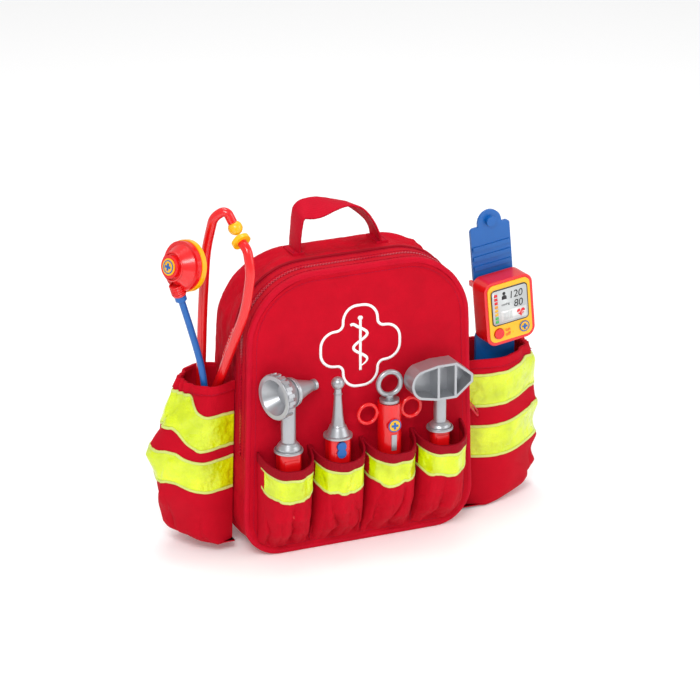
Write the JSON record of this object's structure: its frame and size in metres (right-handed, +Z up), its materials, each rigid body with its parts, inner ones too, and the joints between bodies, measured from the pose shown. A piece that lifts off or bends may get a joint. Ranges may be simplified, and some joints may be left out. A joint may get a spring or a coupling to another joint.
{
  "type": "toy rescue backpack",
  "caption": "Child's red fabric rescue backpack with an opening zipped front, side pockets, tool pockets holding toy medical tools, a carry handle and shoulder straps.",
  "frame": {"origin": "the middle of the bag's flat bottom, where it rests on the floor", "axes": "+X to the right as seen from the front, +Y from the front panel to the back, +Z up"},
  "size_m": [0.4091, 0.1637, 0.3448],
  "materials": {
    "red_fabric": "woven polyester, crimson red",
    "dark_red_binding": "ribbed binding tape",
    "red_webbing": "ribbed webbing",
    "lime_reflective": "glossy lime reflective tape on pale edge stitching",
    "white_print": "screen print",
    "zip_red": "moulded zip teeth",
    "zip_metal": "red enamelled zip",
    "silver_plastic": "silver-grey moulded plastic with a metallic pigment",
    "red_plastic": "glossy moulded red",
    "blue_plastic": "glossy moulded blue",
    "yellow_plastic": "glossy moulded yellow",
    "screen_print": "grey display label",
    "dark_red_plastic": "moulded strap buckle"
  },
  "bodies": {
    "bag": {"main_gusset": "red_fabric", "bottom_panel": "red_fabric", "gusset_piping": "dark_red_binding", "back_binding": "dark_red_binding", "back_panel": "red_fabric", "rear_zip": "zip_red", "lower_gusset_left": "red_fabric", "lower_gusset_right": "red_fabric", "handle_tabs": "red_webbing", "shoulder_strap_left": "red_fabric", "shoulder_strap_right": "red_fabric", "strap_webbing": "red_webbing", "strap_buckles": "dark_red_plastic", "side_pocket_left": "red_fabric", "side_pocket_right": "red_fabric", "side_pocket_hems": "dark_red_binding", "side_bands_left": "lime_reflective", "side_bands_right": "lime_reflective"},
    "front": {"front_binding": "dark_red_binding", "front_panel": "red_fabric", "front_zip": "zip_red", "emblem": "white_print", "tool_pocket_1": "red_fabric", "tool_pocket_2": "red_fabric", "tool_pocket_3": "red_fabric", "tool_pocket_4": "red_fabric", "tool_pocket_binding": "dark_red_binding", "tool_pocket_band": "lime_reflective"},
    "carry_handle": {"carry_handle": "red_webbing"},
    "zip_slider_upper": {"zip_slider_upper": "zip_metal"},
    "zip_slider_lower": {"zip_slider_lower": "zip_metal"},
    "zip_puller_upper": {"zip_puller_upper": "zip_metal"},
    "zip_puller_lower": {"zip_puller_lower": "zip_metal"},
    "otoscope": {"otoscope_head": "silver_plastic", "otoscope_grip": "red_plastic"},
    "probe": {"probe_tip": "silver_plastic", "probe_grip": "red_plastic"},
    "probe_button": {"probe_button": "blue_plastic"},
    "syringe": {"syringe_barrel": "red_plastic"},
    "syringe_plunger": {"syringe_plunger": "silver_plastic"},
    "hammer": {"hammer_head": "silver_plastic", "hammer_grip": "red_plastic"},
    "stethoscope": {"chest_piece": "red_plastic", "chest_rim": "yellow_plastic", "chest_badge": "yellow_plastic", "tube_collar": "blue_plastic", "stethoscope_tube": "blue_plastic", "headset_yoke": "red_plastic"},
    "headset_arm_back": {"headset_arm_back": "red_plastic", "ear_tip_back": "yellow_plastic"},
    "headset_arm_front": {"headset_arm_front": "red_plastic", "ear_tip_front": "yellow_plastic"},
    "monitor": {"monitor_housing_front": "red_plastic", "monitor_housing_back": "red_plastic", "monitor_bezel": "yellow_plastic", "monitor_screen": "screen_print", "cuff_pin": "blue_plastic", "cuff_lower": "blue_plastic"},
    "monitor_button": {"monitor_button": "red_plastic"},
    "cuff_upper": {"cuff_upper": "blue_plastic"}
  },
  "joints": [
    {"name": "front_open", "type": "hinge", "parent": "bag", "child": "front", "pos_m": [0, -0.05, 0.001], "axis": [1, 0, 0], "range_deg": [0, 20], "deforming": ["lower_gusset_left", "lower_gusset_right"]},
    {"name": "handle_swing", "type": "hinge", "parent": "bag", "child": "carry_handle", "pos_m": [0, 0.0091, 0.2868], "axis": [1, 0, 0], "range_deg": [-25, 25]},
    {"name": "zip_slider_upper_run", "type": "slide", "parent": "bag", "child": "zip_slider_upper", "axis": [-0.0282, 0, 0.9996], "range_m": [0, 0.088]},
    {"name": "zip_slider_lower_run", "type": "slide", "parent": "bag", "child": "zip_slider_lower", "axis": [-0.0282, 0, 0.9996], "range_m": [-0.005, 0]},
    {"name": "zip_puller_upper_swing", "type": "hinge", "parent": "zip_slider_upper", "child": "zip_puller_upper", "pos_m": [0.11889, -0.032, 0.121], "axis": [0, -1, 0], "range_deg": [0, 120]},
    {"name": "zip_puller_lower_swing", "type": "hinge", "parent": "zip_slider_lower", "child": "zip_puller_lower", "pos_m": [0.11929, -0.032, 0.107], "axis": [0, -1, 0], "range_deg": [0, 30]},
    {"name": "otoscope_lift", "type": "slide", "parent": "front", "child": "otoscope", "axis": [0, 0, 1], "range_m": [0, 0.075]},
    {"name": "probe_lift", "type": "slide", "parent": "front", "child": "probe", "axis": [0, 0, 1], "range_m": [0, 0.075]},
    {"name": "probe_button_press", "type": "slide", "parent": "probe", "child": "probe_button", "axis": [0, 1, 0], "range_m": [0, 0.001], "stiffness_N_per_m": 400},
    {"name": "syringe_lift", "type": "slide", "parent": "front", "child": "syringe", "axis": [0, 0, 1], "range_m": [0, 0.075]},
    {"name": "plunger_pull", "type": "slide", "parent": "syringe", "child": "syringe_plunger", "axis": [0, 0, 1], "range_m": [0, 0.03]},
    {"name": "hammer_lift", "type": "slide", "parent": "front", "child": "hammer", "axis": [0, 0, 1], "range_m": [0, 0.075]},
    {"name": "stethoscope_lift", "type": "slide", "parent": "bag", "child": "stethoscope", "axis": [0, 0, 1], "range_m": [0, 0.15]},
    {"name": "headset_back_spread", "type": "hinge", "parent": "stethoscope", "child": "headset_arm_back", "pos_m": [-0.137, 0.0232, 0.1145], "axis": [-1, 0, 0], "range_deg": [0, 4], "stiffness_Nm_per_rad": 1},
    {"name": "headset_front_spread", "type": "hinge", "parent": "stethoscope", "child": "headset_arm_front", "pos_m": [-0.137, 0.0132, 0.1145], "axis": [1, 0, 0], "range_deg": [0, 4], "stiffness_Nm_per_rad": 1},
    {"name": "monitor_lift", "type": "slide", "parent": "bag", "child": "monitor", "axis": [0, 0, 1], "range_m": [0, 0.16]},
    {"name": "monitor_button_press", "type": "slide", "parent": "monitor", "child": "monitor_button", "axis": [-0.1041, 0.9945, -0.0091], "range_m": [0, 0.001], "stiffness_N_per_m": 400},
    {"name": "cuff_fold", "type": "hinge", "parent": "monitor", "child": "cuff_upper", "pos_m": [0.1632, 0.00351, 0.22876], "axis": [0.9907, 0.1045, 0.0867], "range_deg": [-100, 0]}
  ]
}
